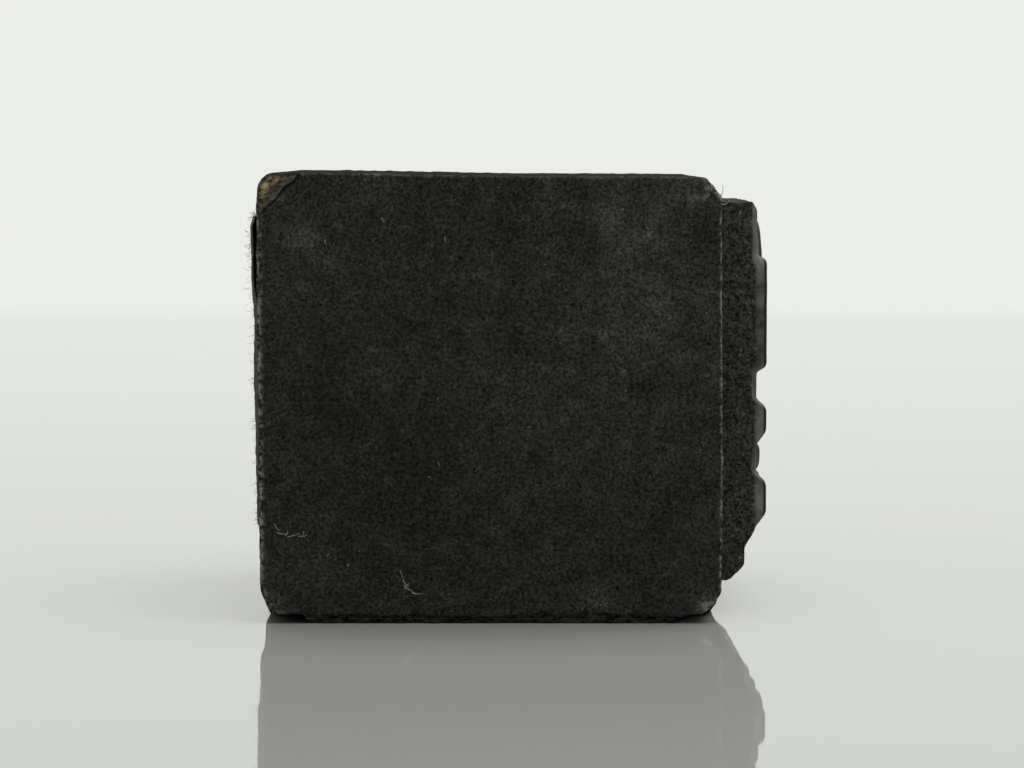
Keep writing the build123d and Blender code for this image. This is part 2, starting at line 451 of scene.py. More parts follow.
def rubbed_arrises(nodes, place, colour):
    """Pale wood in broken specks where the arrises are rubbed; on the upright ones, also a painted
    highlight.
    """
    speck_size = 0.3 * mm
    # Pale worn wood, which on the upright arrises also serves as a painted highlight
    worn_pale_and_highlight = linear("a19e92")
    rubbed = add(nodes, "ShaderNodeAttribute", {}, output="Fac", attribute_name="rub")
    speck = add(nodes, "ShaderNodeTexNoise", {
        "Vector": place, "Scale": 1 / speck_size, "Detail": 4, "Roughness": 0.75,
    })
    speck = add(nodes, "ShaderNodeMapRange", {"Value": speck, "From Min": 0.46, "From Max": 0.58})
    rubbed = add(nodes, "ShaderNodeMath", {0: rubbed, 1: speck}, operation="MULTIPLY")
    return add(nodes, "ShaderNodeMix", {
        mix_share: rubbed, mix_from: colour, mix_to: worn_pale_and_highlight,
    }, output=mixed, data_type="RGBA")


def bare_wood(nodes, place, colour):
    """The bare corner and the split ledge: light brown wood that greys towards the facet's edge, with
    dark cracks, a dark crease round it, and grey-brown splinters below the ledge."""
    crack_size = 0.2 * mm
    crack_slant = (0, -0.6, 0)
    crack_stretch = (0.45, 1, 1)
    fresh_wood = linear("a89272")
    grey_wood = linear("5a574b")
    dark_crack = linear("2e2720")
    crease = linear("0b0b0a")
    split_pit = linear("090908")
    split_wood = linear("3a3832")
    share = add(nodes, "ShaderNodeAttribute", {}, output="Fac", attribute_name="facet")
    greyed = add(nodes, "ShaderNodeMapRange", {"Value": share, "From Min": 0.3, "From Max": 0.62})
    wood = add(nodes, "ShaderNodeMix", {
        mix_share: greyed, mix_from: fresh_wood, mix_to: grey_wood,
    }, output=mixed, data_type="RGBA")
    slanted = add(nodes, "ShaderNodeMapping", {
        "Vector": place, "Rotation": crack_slant, "Scale": crack_stretch,
    })
    crack = add(nodes, "ShaderNodeTexNoise", {
        "Vector": slanted, "Scale": 1 / crack_size, "Detail": 4, "Roughness": 0.75,
    })
    crack = add(nodes, "ShaderNodeMapRange", {"Value": crack, "From Min": 0.4, "From Max": 0.56})
    wood = add(nodes, "ShaderNodeMix", {
        mix_share: crack, mix_from: dark_crack, mix_to: wood,
    }, output=mixed, data_type="RGBA")
    splinter = add(nodes, "ShaderNodeMix", {
        mix_share: crack, mix_from: split_pit, mix_to: split_wood,
    }, output=mixed, data_type="RGBA")
    creased = add(nodes, "ShaderNodeMapRange", {
        "Value": share, "From Min": 1.07, "From Max": 1.01, "To Min": 0, "To Max": 0.85,
    })
    inside = add(nodes, "ShaderNodeMapRange", {"Value": share, "From Min": 0.97, "From Max": 0.9})
    ledge = add(nodes, "ShaderNodeAttribute", {}, output="Fac", attribute_name="split")
    for amount, layer in ((creased, crease), (inside, wood), (ledge, splinter)):
        colour = add(nodes, "ShaderNodeMix", {
            mix_share: amount, mix_from: colour, mix_to: layer,
        }, output=mixed, data_type="RGBA")
    return colour


def stained_beech():
    """Beech soaked with black ink and dulled by dust: fine pores and short pale fibres, cloudy
    grey dust, pale rubbed arrises that also carry a painted highlight, light brown where the corner is
    bare."""
    grain_depth = 0.02 * mm
    material, nodes, place = new_material("stained_beech")
    grain = inked_grain(nodes, place)
    colour = add(nodes, "ShaderNodeVectorMath", {
        0: dusty_ink(nodes, place), "Scale": grain,
    }, operation="SCALE")
    colour = rubbed_arrises(nodes, place, colour)
    colour = bare_wood(nodes, place, colour)
    relief = add(nodes, "ShaderNodeBump", {"Height": grain, "Distance": grain_depth, "Strength": 0.7})
    shader = add(nodes, "ShaderNodeBsdfPrincipled", {
        "Base Color": colour, "Roughness": 0.9, "Specular IOR Level": 0.0, "Normal": relief,
    })
    add(nodes, "ShaderNodeOutputMaterial", {"Surface": shader})
    return material


def add_piece(name, points, faces, material, slot, **attributes):
    """Puts points, faces and per-point values into a smooth-shaded piece that rides on the stamp.
    Its edges stay sharp from the crease angle on."""
    crease = math.radians(40)
    mesh = bpy.data.meshes.new(name)
    mesh.from_pydata(points.tolist(), [], faces)
    mesh.polygons.foreach_set("use_smooth", np.ones(len(mesh.polygons), bool))
    mesh.set_sharp_from_angle(angle=crease)
    for label, values in attributes.items():
        attribute = mesh.attributes.new(label, "FLOAT", "POINT")
        attribute.data.foreach_set("value", values.astype(np.float32))
    mesh.materials.append(material)
    piece = bpy.data.objects.new(name, mesh)
    bpy.context.scene.collection.objects.link(piece)
    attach(piece, "root")
    return piece


mount_block = add_piece(
    "mount_block_worn", block_points, block_quads.tolist(), stained_beech(), "stained_wood",
    rub=rub, facet=facet, dust=dust, split=split,
)
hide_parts("mount_block")

# Rubber cement: natural rubber in a solvent, brushed on both faces and pressed together when it is
# tacky. The dull film that is left holds the die to the block, and keeps the shape of its solid.


def brushed_cement():
    """Rubber cement, brushed on and dried: dark, dull and slightly streaky."""
    streak_size = 0.4 * mm
    streak_depth = 0.05 * mm
    dark_streak = linear("171512")
    pale_streak = linear("3a352c")
    material, nodes, place = new_material("brushed_cement")
    streak = add(nodes, "ShaderNodeTexNoise", {"Vector": place, "Scale": 1 / streak_size, "Detail": 3})
    colour = add(nodes, "ShaderNodeMix", {
        mix_share: streak, mix_from: dark_streak, mix_to: pale_streak,
    }, output=mixed, data_type="RGBA")
    relief = add(nodes, "ShaderNodeBump", {"Height": streak, "Distance": streak_depth})
    shader = add(nodes, "ShaderNodeBsdfPrincipled", {
        "Base Color": colour, "Roughness": 0.6, "Specular IOR Level": 0.3, "Normal": relief,
    })
    add(nodes, "ShaderNodeOutputMaterial", {"Surface": shader})
    return material


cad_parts["mount_cement"].material_slots[0].material = brushed_cement()

# Rubber die: a sheet of vulcanised rubber with the printing relief moulded on it, cut square with a
# knife. The moulded side is smooth, and the cut sides are pitted and hold ink and dust.
die_low, die_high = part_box("rubber_die")
die_half_width = (die_high.y - die_low.y) / 2
die_half_height = (die_high.z - die_low.z) / 2
die_middle_z = (die_high.z + die_low.z) / 2

# The printing plane, the sheet's own surface and the raised ground between them, along X
sheet_thickness = 1.42 * mm
ground_thickness = 0.66 * mm
relief_x = die_high.x
sheet_x = die_low.x + sheet_thickness
ground_x = sheet_x + ground_thickness

# The ground's outline and its skirt, and where the relief ends at both sides
skirt_rise = 0.59 * mm
skirt_run = 0.88 * mm
ground_margin = 0.45 * mm
ground_foot_margin = 2.85 * mm
relief_margin = 0.35 * mm
ground_half_width = die_half_width - ground_margin
ground_head = die_half_height - ground_margin
ground_foot = -die_half_height + ground_foot_margin
relief_half_width = die_half_width - relief_margin

# Moulding draft of the walls, from square to the printing plane: the design's, and the waves'
design_draft = math.radians(27)
wave_draft = math.radians(40)
moulded_softness = 0.065 * mm

# The knife took off the moulded edge at the foot. The head was cut a little high, and the foot
# rises from front to back.
foot_bevel_run = 0.81 * mm
foot_bevel_rise = 0.86 * mm
head_stretch = 0.22 * mm
head_stretch_reach = 2.0 * mm
foot_lift = 0.5 * mm
foot_lift_reach = 3.0 * mm

# The design, with rises from the middle of the sheet: a plum blossom in a ring, in front of a frame
# with a bud at each side, over three bands of flowing water
ring_rise = 5.4 * mm
ring_radius = 3.9 * mm
ring_line = 0.55 * mm
ring_clearance = 0.5 * mm
petal_count = 5
petal_radius = 1.0 * mm
petal_place_radius = 2.0 * mm
heart_radius = 0.45 * mm
vein_width = 0.22 * mm
vein_length = 1.0 * mm
vein_depth = 0.3 * mm
vein_softness = 0.05 * mm
frame_rise = 4.39 * mm
frame_length = 14.9 * mm
frame_height = 5.95 * mm
frame_line = 0.9 * mm
frame_corner = 0.5 * mm
bud_radius = 0.6 * mm
bud_place = 5.4 * mm
half_wave = 2.6 * mm
wave_height = 0.3 * mm
short_band_drop = 0.15 * mm

# Each band's rise and width, and its half length if it is short
water_bands = [
    (-1.69 * mm, 1.17 * mm, None),
    (-3.75 * mm, 1.0 * mm, 3.9 * mm),
    (-6.02 * mm, 1.55 * mm, None),
]
across_lines = 190
upward_lines = 250
wall_rows = 24
rim_value = 0.4


def softly_positive(values):
    """Smooth version of the larger of a value and zero: the log of one plus its exponential."""
    return moulded_softness * np.logaddexp(0, values / moulded_softness)


def softly_highest(heights):
    """Smooth version of the largest of several heights: the log of the sum of their exponentials."""
    total = heights[0] / moulded_softness
    for height in heights[1:]:
        total = np.logaddexp(total, height / moulded_softness)
    return total * moulded_softness


def oblong(y, rise, half_width, half_rise, corner):
    """Signed distance to an oblong with round corners: negative inside, and zero on its outline."""
    away_y = abs(y) - half_width + corner
    away_rise = abs(rise) - half_rise + corner
    outside = np.hypot(np.maximum(away_y, 0), np.maximum(away_rise, 0))
    return outside + np.minimum(np.maximum(away_y, away_rise), 0) - corner


def wave(y):
    """Rise and slope of a band's middle line: arcs of one radius that turn up and down by half waves."""
    radius = (half_wave ** 2 / 4 + wave_height ** 2) / (2 * wave_height)
    turn = np.floor(y / half_wave)
    along = y - (turn + 0.5) * half_wave
    up = np.where(turn % 2 == 1, 1, -1)
    level = np.sqrt(radius ** 2 - along ** 2)
    return up * (level - radius + wave_height), along / level


def water_band(y, rise, band_rise, width, half_reach):
    """Signed distance to a wavy band: the rise off its middle line, lessened by the slope, less half
    its width. A short band has round ends."""
    middle, slope = wave(y if half_reach is None else y - half_wave / 2)
    away = abs(rise - band_rise - middle) / np.sqrt(1 + slope ** 2)
    if half_reach is not None:
        end = np.hypot(abs(y) - half_reach, rise - band_rise)
        away = np.where(abs(y) > half_reach, end, away)
    return away - width / 2


def blossom(y, rise):
    """Signed distances to the ring, the heart and the petals, and the depth of the petals' veins."""
    from_ring = np.hypot(y, rise - ring_rise)
    lines = [abs(from_ring - ring_radius + ring_line / 2) - ring_line / 2, from_ring - heart_radius]
    veins = np.zeros(y.shape)
    vein_middle = petal_place_radius - petal_radius + vein_length / 2
    for petal in range(petal_count):
        angle = math.pi / 2 + petal * 2 * math.pi / petal_count
        along = y * math.cos(angle) + (rise - ring_rise) * math.sin(angle)
        beside = -y * math.sin(angle) + (rise - ring_rise) * math.cos(angle)
        lines.append(np.hypot(along - petal_place_radius, beside) - petal_radius)
        outside = np.maximum(abs(along - vein_middle) - vein_length / 2, abs(beside) - vein_width / 2)
        veins += vein_depth * ramp(-outside, -vein_softness, vein_softness)
    return lines, veins, from_ring


def die_face(y, rise):
    """Height of the moulded side: the sheet, the ground on it, and the design's raised lines, whose
    walls lean out below the printing plane by their draft. All are joined by a soft maximum."""
    design_slope = 1 / math.tan(design_draft)
    wave_slope = 1 / math.tan(wave_draft)
    lines, veins, from_ring = blossom(y, rise)
    frame_outline = oblong(y, rise - frame_rise, frame_length / 2, frame_height / 2, frame_corner)
    frame_band = abs(frame_outline + frame_line / 2) - frame_line / 2
    lines.append(np.maximum(frame_band, ring_radius + ring_clearance - from_ring))
    lines.append(np.hypot(abs(y) - bud_place, rise - frame_rise) - bud_radius)
    heights = [relief_x - softly_positive(line) * design_slope for line in lines]
    for band in water_bands:
        top = relief_x - (short_band_drop if band[2] else 0)
        heights.append(top - softly_positive(water_band(y, rise, *band)) * wave_slope)
    design = softly_highest(heights) - veins
    ends = relief_x - softly_positive(abs(y) - relief_half_width) * design_slope
    off_ground = np.maximum.reduce([abs(y) - ground_half_width, rise - ground_head, ground_foot - rise])
    ground = ground_x - softly_positive(off_ground) * skirt_rise / skirt_run
    height = softly_highest([np.full(y.shape, sheet_x), ground, np.minimum(design, ends)])
    bevel = sheet_x - foot_bevel_run + (rise + die_half_height) * foot_bevel_run / foot_bevel_rise
    return -softly_highest([-height, -bevel])


def moulded_die():
    """The moulded side as a grid of heights, and the cut sides as rings from its edge to the back.
    The last value is 1 on the moulded side, less on its rim, and 0 on the cut sides."""
    y, rise = np.meshgrid(
        np.linspace(-die_half_width, die_half_width, across_lines + 1),
        np.linspace(-die_half_height, die_half_height, upward_lines + 1), indexing="ij",
    )
    near_head = ramp(rise, die_half_height - head_stretch_reach, die_half_height)
    near_foot = ramp(-rise, die_half_height - foot_lift_reach, die_half_height)
    backward = (y / die_half_width + 1) / 2
    stretch = head_stretch * near_head + foot_lift * backward * near_foot
    face = np.stack([die_face(y, rise), y, rise + stretch + die_middle_z], axis=-1).reshape(-1, 3)
    number = np.arange(y.size).reshape(y.shape)
    grid = np.stack([number[:-1, :-1], number[1:, :-1], number[1:, 1:], number[:-1, 1:]], axis=-1)
    quads = [grid.reshape(-1, 4)]
    rim_loop = np.concatenate([number[:, 0], number[-1, 1:], number[-2::-1, -1], number[0, -2:0:-1]])
    points = [face]
    upper = rim_loop
    for row in range(1, wall_rows + 1):
        ring = face[rim_loop]
        ring[:, 0] += (die_low.x - ring[:, 0]) * row / wall_rows
        points.append(ring)
        lower = y.size + (row - 1) * len(rim_loop) + np.arange(len(rim_loop))
        quads.append(np.stack([upper, lower, np.roll(lower, -1), np.roll(upper, -1)], axis=1))
        upper = lower
    moulded = np.zeros(y.size + wall_rows * len(rim_loop))
    moulded[:y.size] = 1
    moulded[rim_loop] = rim_value
    return np.concatenate(points), np.concatenate(quads), lower[::-1], moulded


die_points, die_quads, die_back, moulded = moulded_die()
raised = np.clip((die_points[:, 0] - ground_x) / (relief_x - ground_x), 0, 1) * (moulded == 1)

# The knife wandered a little, and the cut rubber is rough and pitted. The mould left a fine skin.
wander = 0.045 * mm
wander_length = 2.4 * mm
cut_grit = 0.03 * mm
cut_grit_length = 0.5 * mm
pit_depth = 0.11 * mm
pit_spacing = 0.3 * mm
pit_starts_at = 0.3
pit_full_at = 0.8
mould_grit = 0.012 * mm
mould_grit_length = 0.9 * mm
pits = ramp(lattice_noise(die_points, pit_spacing, seed=13), pit_starts_at, pit_full_at)
cut_depth = wander * lattice_noise(die_points, wander_length, seed=11)
cut_depth += cut_grit * lattice_noise(die_points, cut_grit_length, seed=12)
cut_depth -= pit_depth * pits
mould_depth = mould_grit * lattice_noise(die_points, mould_grit_length, seed=14)
mould_depth += cut_depth / 2 * (moulded < 1)
die_depth = np.where(moulded == 0, cut_depth, mould_depth)
die_points += outward_normals(die_points, die_quads) * die_depth[:, None]


def cut_and_moulded_rubber():
    """Vulcanised rubber: satin dark grey with patchy bloom where it was moulded, blacker with ink on
    the printing lines, and matt brown-black, pitted and dusty where it was cut."""
    bloom_size = 1.7 * mm
    grain_size = 0.16 * mm
    fleck_size = 0.22 * mm
    grain_depth = 0.02 * mm
    moulded_dull = linear("2c2c29")
    moulded_bloom = linear("787871")
    print_ink = linear("272728")
    cut_pit = linear("0d0d0c")
    cut_grey = linear("5c5c54")
    pale_fleck = linear("85847a")
    material, nodes, place = new_material("vulcanised_rubber")
    moulded_here = add(nodes, "ShaderNodeAttribute", {}, output="Fac", attribute_name="moulded")
    raised_here = add(nodes, "ShaderNodeAttribute", {}, output="Fac", attribute_name="raised")
    bloom = add(nodes, "ShaderNodeTexNoise", {
        "Vector": place, "Scale": 1 / bloom_size, "Detail": 4, "Roughness": 0.6,
    })
    bloom = add(nodes, "ShaderNodeMapRange", {"Value": bloom, "From Min": 0.36, "From Max": 0.64})
    smooth = add(nodes, "ShaderNodeMix", {
        mix_share: bloom, mix_from: moulded_dull, mix_to: moulded_bloom,
    }, output=mixed, data_type="RGBA")
    inked = add(nodes, "ShaderNodeMapRange", {"Value": raised_here, "From Min": 0.6, "From Max": 0.74})
    smooth = add(nodes, "ShaderNodeMix", {
        mix_share: inked, mix_from: smooth, mix_to: print_ink,
    }, output=mixed, data_type="RGBA")
    grain = add(nodes, "ShaderNodeTexNoise", {
        "Vector": place, "Scale": 1 / grain_size, "Detail": 3, "Roughness": 0.75,
    })
    grain = add(nodes, "ShaderNodeMapRange", {"Value": grain, "From Min": 0.36, "From Max": 0.66})
    cut = add(nodes, "ShaderNodeMix", {
        mix_share: grain, mix_from: cut_pit, mix_to: cut_grey,
    }, output=mixed, data_type="RGBA")
    fleck = add(nodes, "ShaderNodeTexNoise", {"Vector": place, "Scale": 1 / fleck_size, "Detail": 1})
    fleck = add(nodes, "ShaderNodeMapRange", {"Value": fleck, "From Min": 0.69, "From Max": 0.77})
    cut = add(nodes, "ShaderNodeMix", {
        mix_share: fleck, mix_from: cut, mix_to: pale_fleck,
    }, output=mixed, data_type="RGBA")
    colour = add(nodes, "ShaderNodeMix", {
        mix_share: moulded_here, mix_from: cut, mix_to: smooth,
    }, output=mixed, data_type="RGBA")
    roughness = add(nodes, "ShaderNodeMapRange", {"Value": moulded_here, "To Min": 0.9, "To Max": 0.55})
    relief = add(nodes, "ShaderNodeBump", {"Height": grain, "Distance": grain_depth, "Strength": 0.5})
    shader = add(nodes, "ShaderNodeBsdfPrincipled", {
        "Base Color": colour, "Roughness": roughness, "Specular IOR Level": 0.1, "Normal": relief,
    })
    add(nodes, "ShaderNodeOutputMaterial", {"Surface": shader})
    return material


rubber_die = add_piece(
    "rubber_die_moulded", die_points, die_quads.tolist() + [die_back.tolist()],
    cut_and_moulded_rubber(), "die_rubber", moulded=moulded, raised=raised,
)
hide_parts("rubber_die")

# Label paste: starch paste, what is left of it under the part of the label that still holds. It was
# brushed on the paper and has dried and cracked. The film keeps the shape of its solid.


def dried_paste():
    """Starch paste, brushed on and dried: dull grey-brown, with fine cracks."""
    crack_spacing = 0.8 * mm
    dark_crack = linear("15130f")
    dull_paste = linear("3c372d")
    material, nodes, place = new_material("dried_starch_paste")
    crack = add(nodes, "ShaderNodeTexVoronoi", {
        "Vector": place, "Scale": 1 / crack_spacing,
    }, feature="DISTANCE_TO_EDGE")
    crack = add(nodes, "ShaderNodeMapRange", {"Value": crack, "From Max": 0.08})
    colour = add(nodes, "ShaderNodeMix", {
        mix_share: crack, mix_from: dark_crack, mix_to: dull_paste,
    }, output=mixed, data_type="RGBA")
    shader = add(nodes, "ShaderNodeBsdfPrincipled", {"Base Color": colour, "Roughness": 0.8})
    add(nodes, "ShaderNodeOutputMaterial", {"Surface": shader})
    return material


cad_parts["label_paste"].material_slots[0].material = dried_paste()

# Index label: a slip of soft, thick paper pasted on the end that faces away from the print. Ink and
# handling have blackened it, its edges have frayed to fibres, and its head has come away.
label_low, label_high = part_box("index_label")
label_half_width = (label_high.y - label_low.y) / 2
label_half_height = (label_high.z - label_low.z) / 2
label_middle_z = (label_high.z + label_low.z) / 2
paper_thickness = 0.25 * mm
paste_thickness = 0.15 * mm

# Where its head lifts and by how much, how much thinner it is there, and where it curls back
lift = 0.31 * mm
lift_from = 16.0 * mm
lift_to = 19.0 * mm
lifted_thickness_share = 0.55
curl_from = 21.3 * mm
curl_to = 22.0 * mm
curl_share = 0.5

# Where damp has cockled it off the wood, and its waviness
cockle = 0.08 * mm
cockle_z = 12.3 * mm
cockle_reach = 2.5 * mm
waviness = 0.03 * mm
wave_spacing = 2.2 * mm

# Its edges are ragged and a little thinner, and its surface is fluffy
label_margin = 0.1 * mm
edge_power = 10
ragged = 0.09 * mm
coarse_rag_length = 0.45 * mm
fine_rag_length = 0.2 * mm
fine_rag_share = 0.6
fluff_share = 0.25
fluff_length = 0.3 * mm
edge_thinning_share = 0.15
edge_fluff = 0.5
edge_fluff_power = 5
label_lines = 120
label_layers = 4


def label_back(z):
    """Place along X of the label's pasted side: beyond the wood and the paste, cockled at mid-height
    by a bell curve, and lifted by a smooth step towards its head, which curls back a little."""
    lifted = ramp(z, lift_from, lift_to) * (1 - curl_share * ramp(z, curl_from, curl_to))
    cockled = np.exp(-((z - cockle_z) / cockle_reach) ** 2)
    return label_side(z) - paste_thickness - lift * lifted - cockle * cockled


def frayed_label():
    """A thin lattice bent along the block's side, with ragged edges. The last value says how much of
    a point is fluff."""
    even = np.linspace(-1, 1, label_lines)
    plain, quads = lattice_skin(np.linspace(-1, 1, label_layers), even, even)
    edge_y = abs(plain[:, 1]) ** edge_power
    edge_z = abs(plain[:, 2]) ** edge_power
    edge = np.maximum(edge_y, edge_z)
    points = plain * [0, label_half_width - label_margin, label_half_height - label_margin]
    points += [0, 0, label_middle_z]
    noise = lattice_noise(points, coarse_rag_length, seed=21)
    noise += fine_rag_share * lattice_noise(points, fine_rag_length, seed=22)
    points[:, 1] += np.sign(plain[:, 1]) * edge_y * ragged * noise
    points[:, 2] += np.sign(plain[:, 2]) * edge_z * ragged * noise
    fluffy = 1 + fluff_share * lattice_noise(points, fluff_length, seed=23) - edge_thinning_share * edge
    thinner = (1 - lifted_thickness_share) * ramp(points[:, 2], lift_from, lift_to)
    half_thick = paper_thickness / 2 * (1 - thinner)
    middle = label_back(points[:, 2]) - half_thick
    middle += waviness * lattice_noise(points, wave_spacing, seed=24)
    points[:, 0] = middle + plain[:, 0] * half_thick * fluffy
    return points, quads, edge_fluff * edge ** edge_fluff_power


# The fibres at its edges, which thin towards their ends
fibre_radius = 0.011 * mm
fibre_taper = 0.6
fibre_stations = 7


def fibre_tubes(starts, headings, bends, lengths, curls, radius):
    """Thin tubes of four sides along circular arcs: each path turns from its heading towards its bend
    by its curl over its length, and the tube thins to its end. Both ends are closed."""
    headings = headings / np.linalg.norm(headings, axis=1, keepdims=True)
    bends = bends - headings * (bends * headings).sum(axis=1, keepdims=True)
    bends /= np.linalg.norm(bends, axis=1, keepdims=True)
    along = np.linspace(0, 1, fibre_stations)[None, :, None]
    turn = curls[:, None, None] * along
    heading = headings[:, None]
    bend = bends[:, None]
    reach = (heading * np.sin(turn) + bend * (1 - np.cos(turn))) / curls[:, None, None]
    path = starts[:, None] + lengths[:, None, None] * reach
    normal = bend * np.cos(turn) - heading * np.sin(turn)
    side = np.cross(headings, bends)[:, None]
    thin = radius * (1 - fibre_taper * along)
    corners = [path + thin * (normal * a + side * b) for a, b in ((1, 0), (0, 1), (-1, 0), (0, -1))]
    points = np.stack(corners, axis=2).reshape(-1, 3)
    number = np.arange(len(points)).reshape(len(starts), fibre_stations, 4)
    around = np.roll(number, -1, axis=2)
    walls = np.stack([number[:, :-1], around[:, :-1], around[:, 1:], number[:, 1:]], axis=-1)
    ends = np.concatenate([number[:, 0, ::-1], number[:, -1]])
    return points, np.concatenate([walls.reshape(-1, 4), ends])


def frayed_fibres():
    """Fibres round the label's edges, most on the front one: they start in the paper and stand out,
    and away from the wood. Places, headings, lengths and curls are random within their ranges."""
    count = 520
    edge_shares = [0.42, 0.2, 0.2, 0.18]
    margin = 0.15 * mm
    depth_range = (0.1, 1)
    off_wood_range = (0, 1.5)
    out_spread = 0.5
    up_spread = 0.7
    length_range = (0.12 * mm, 0.6 * mm)
    curl_range = (0.2, 2.4)
    random = np.random.default_rng(31)
    place = random.uniform(-1, 1, count)
    edge = random.choice(4, count, p=edge_shares)
    y = np.choose(edge, [-1, 1, place, place]) * (label_half_width - margin)
    z = np.choose(edge, [place, place, 1, -1]) * (label_half_height - margin) + label_middle_z
    x = label_back(z) - paper_thickness * random.uniform(*depth_range, count)
    out = np.choose(edge, [-1, 1, 0, 0])
    up = np.choose(edge, [0, 0, 1, -1])
    headings = np.stack([
        -random.uniform(*off_wood_range, count),
        out + random.normal(0, out_spread, count),
        up + random.normal(0, up_spread, count),
    ], axis=1)
    lengths = random.uniform(*length_range, count)
    curls = random.uniform(*curl_range, count)
    bends = random.normal(0, 1, (count, 3))
    return fibre_tubes(np.stack([x, y, z], axis=1), headings, bends, lengths, curls, fibre_radius)


def inked_paper():
    """Soft paper, felted from fibres and soaked with ink: near-black and smudged, with grey fluff at
    its edges."""
    felt_size = 0.2 * mm
    smudge_size = 3.5 * mm
    felt_depth = 0.03 * mm
    soaked = linear("1a1a18")
    worn_grey = linear("52514c")
    pale_fluff = linear("a5a49d")
    material, nodes, place = new_material("ink_soaked_paper")
    felt = add(nodes, "ShaderNodeTexNoise", {
        "Vector": place, "Scale": 1 / felt_size, "Detail": 5, "Roughness": 0.7,
    })
    felt = add(nodes, "ShaderNodeMapRange", {"Value": felt, "From Min": 0.34, "From Max": 0.68})
    colour = add(nodes, "ShaderNodeMix", {
        mix_share: felt, mix_from: soaked, mix_to: worn_grey,
    }, output=mixed, data_type="RGBA")
    smudge = add(nodes, "ShaderNodeTexNoise", {
        "Vector": place, "Scale": 1 / smudge_size, "Detail": 4, "Roughness": 0.6,
    })
    smudge = add(nodes, "ShaderNodeMapRange", {
        "Value": smudge, "From Min": 0.35, "From Max": 0.65, "To Min": 0.5, "To Max": 1.6,
    })
    colour = add(nodes, "ShaderNodeVectorMath", {0: colour, "Scale": smudge}, operation="SCALE")
    fluff = add(nodes, "ShaderNodeAttribute", {}, output="Fac", attribute_name="fluff")
    colour = add(nodes, "ShaderNodeMix", {
        mix_share: fluff, mix_from: colour, mix_to: pale_fluff,
    }, output=mixed, data_type="RGBA")
    relief = add(nodes, "ShaderNodeBump", {"Height": felt, "Distance": felt_depth, "Strength": 0.6})
    shader = add(nodes, "ShaderNodeBsdfPrincipled", {
        "Base Color": colour, "Roughness": 0.9, "Specular IOR Level": 0.15, "Normal": relief,
    })
    add(nodes, "ShaderNodeOutputMaterial", {"Surface": shader})
    return material


label_points, label_quads, label_fluff = frayed_label()
fibre_points, fibre_faces = frayed_fibres()
index_label = add_piece(
    "index_label_frayed", np.concatenate([label_points, fibre_points]),
    np.concatenate([label_quads, fibre_faces + len(label_points)]).tolist(), inked_paper(),
    "inked_paper", fluff=np.concatenate([label_fluff, np.ones(len(fibre_points))]),
)
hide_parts("index_label")

# Lint: short bits of cotton fibre that stick to the inky wood, and hairs at the rubber's head.
# Each has its place along X and Z on the broad face and its length, all in millimetres, and its
# heading in that face and its curl, in this order: X, Z, right, up, length, curl.
lint_fibres = [
    (-11.7, 5.45, 0.3, -1.0, 0.5, 0.6),
    (-11.55, 4.95, 1.0, -0.35, 0.6, 0.5),
    (-11.0, 4.74, 1.0, 0.1, 0.7, 0.4),
    (-10.4, 4.78, 1.0, -0.3, 0.5, 0.9),
    (-10.1, 5.05, -0.3, -1.0, 0.4, 0.8),
    (-11.1, 4.8, 0.7, 0.8, 0.3, 0.7),
    (-4.9, 2.9, 0.25, -1.0, 0.45, 0.3),
    (-4.75, 2.4, 0.3, -1.0, 0.5, 0.9),
    (-4.62, 2.0, 1.0, -0.8, 0.5, 0.3),
    (-4.28, 1.7, 1.0, -0.4, 0.6, 0.6),
    (-4.6, 2.05, 0.9, 0.5, 0.25, 0.5),
    (-4.68, 2.1, 0.1, -1.0, 0.3, 0.4),
    (-7.77, 3.2, 0.5, -0.3, 0.13, 0.3),
    (-7.75, 3.15, 0.5, 0.4, 0.13, 0.3),
    (-8.9, 3.7, 0.8, 0.1, 0.2, 1.0),
    (-8.93, 20.8, 0.1, -1.0, 0.35, 0.4),
    (-2.46, 20.95, -0.1, -1.0, 0.3, 0.5),
    (-5.85, 22.0, 0.1, -1.0, 0.3, 0.6),
    (-2.84, 8.8, 0.1, -1.0, 0.25, 0.4),
    (-3.37, 8.0, 0.8, -0.6, 0.1, 0.3),
    (7.25, 12.6, 0.7, 0.5, 0.12, 0.6),
    (12.3, 23.1, 0.7, 0.6, 0.7, 1.3),
    (12.4, 22.7, 0.9, -0.3, 0.5, 1.6),
    (12.35, 22.9, 0.5, 0.8, 0.4, 1.2),
]

# They lie just clear of the wood, tilt outward a little, and are thicker than cotton is, so they show
lint_gap = 0.02 * mm
lint_radius = 0.026 * mm
lint_outward = 0.02


def dyed_cotton():
    """Cotton lint: matt, pale grey and faintly warm."""
    fade_size = 0.4 * mm
    grey_cotton = linear("6a6962")
    pale_cotton = linear("b4b2a9")
    material, nodes, place = new_material("cotton_lint")
    fade = add(nodes, "ShaderNodeTexNoise", {"Vector": place, "Scale": 1 / fade_size, "Detail": 2})
    colour = add(nodes, "ShaderNodeMix", {
        mix_share: fade, mix_from: grey_cotton, mix_to: pale_cotton,
    }, output=mixed, data_type="RGBA")
    shader = add(nodes, "ShaderNodeBsdfPrincipled", {"Base Color": colour, "Roughness": 0.85})
    add(nodes, "ShaderNodeOutputMaterial", {"Surface": shader})
    return material


lint_x, lint_z, lint_right, lint_up, lint_length, lint_curl = np.array(lint_fibres).T
nothing = np.zeros(len(lint_fibres))
lint_points, lint_faces = fibre_tubes(
    np.stack([lint_x * mm, nothing - half_depth - lint_gap, lint_z * mm], axis=1),
    np.stack([lint_right, nothing - lint_outward, lint_up], axis=1),
    np.stack([-lint_up, nothing, lint_right], axis=1),
    lint_length * mm, lint_curl, lint_radius,
)
add_piece("lint", lint_points, lint_faces.tolist(), dyed_cotton(), "inked_paper")

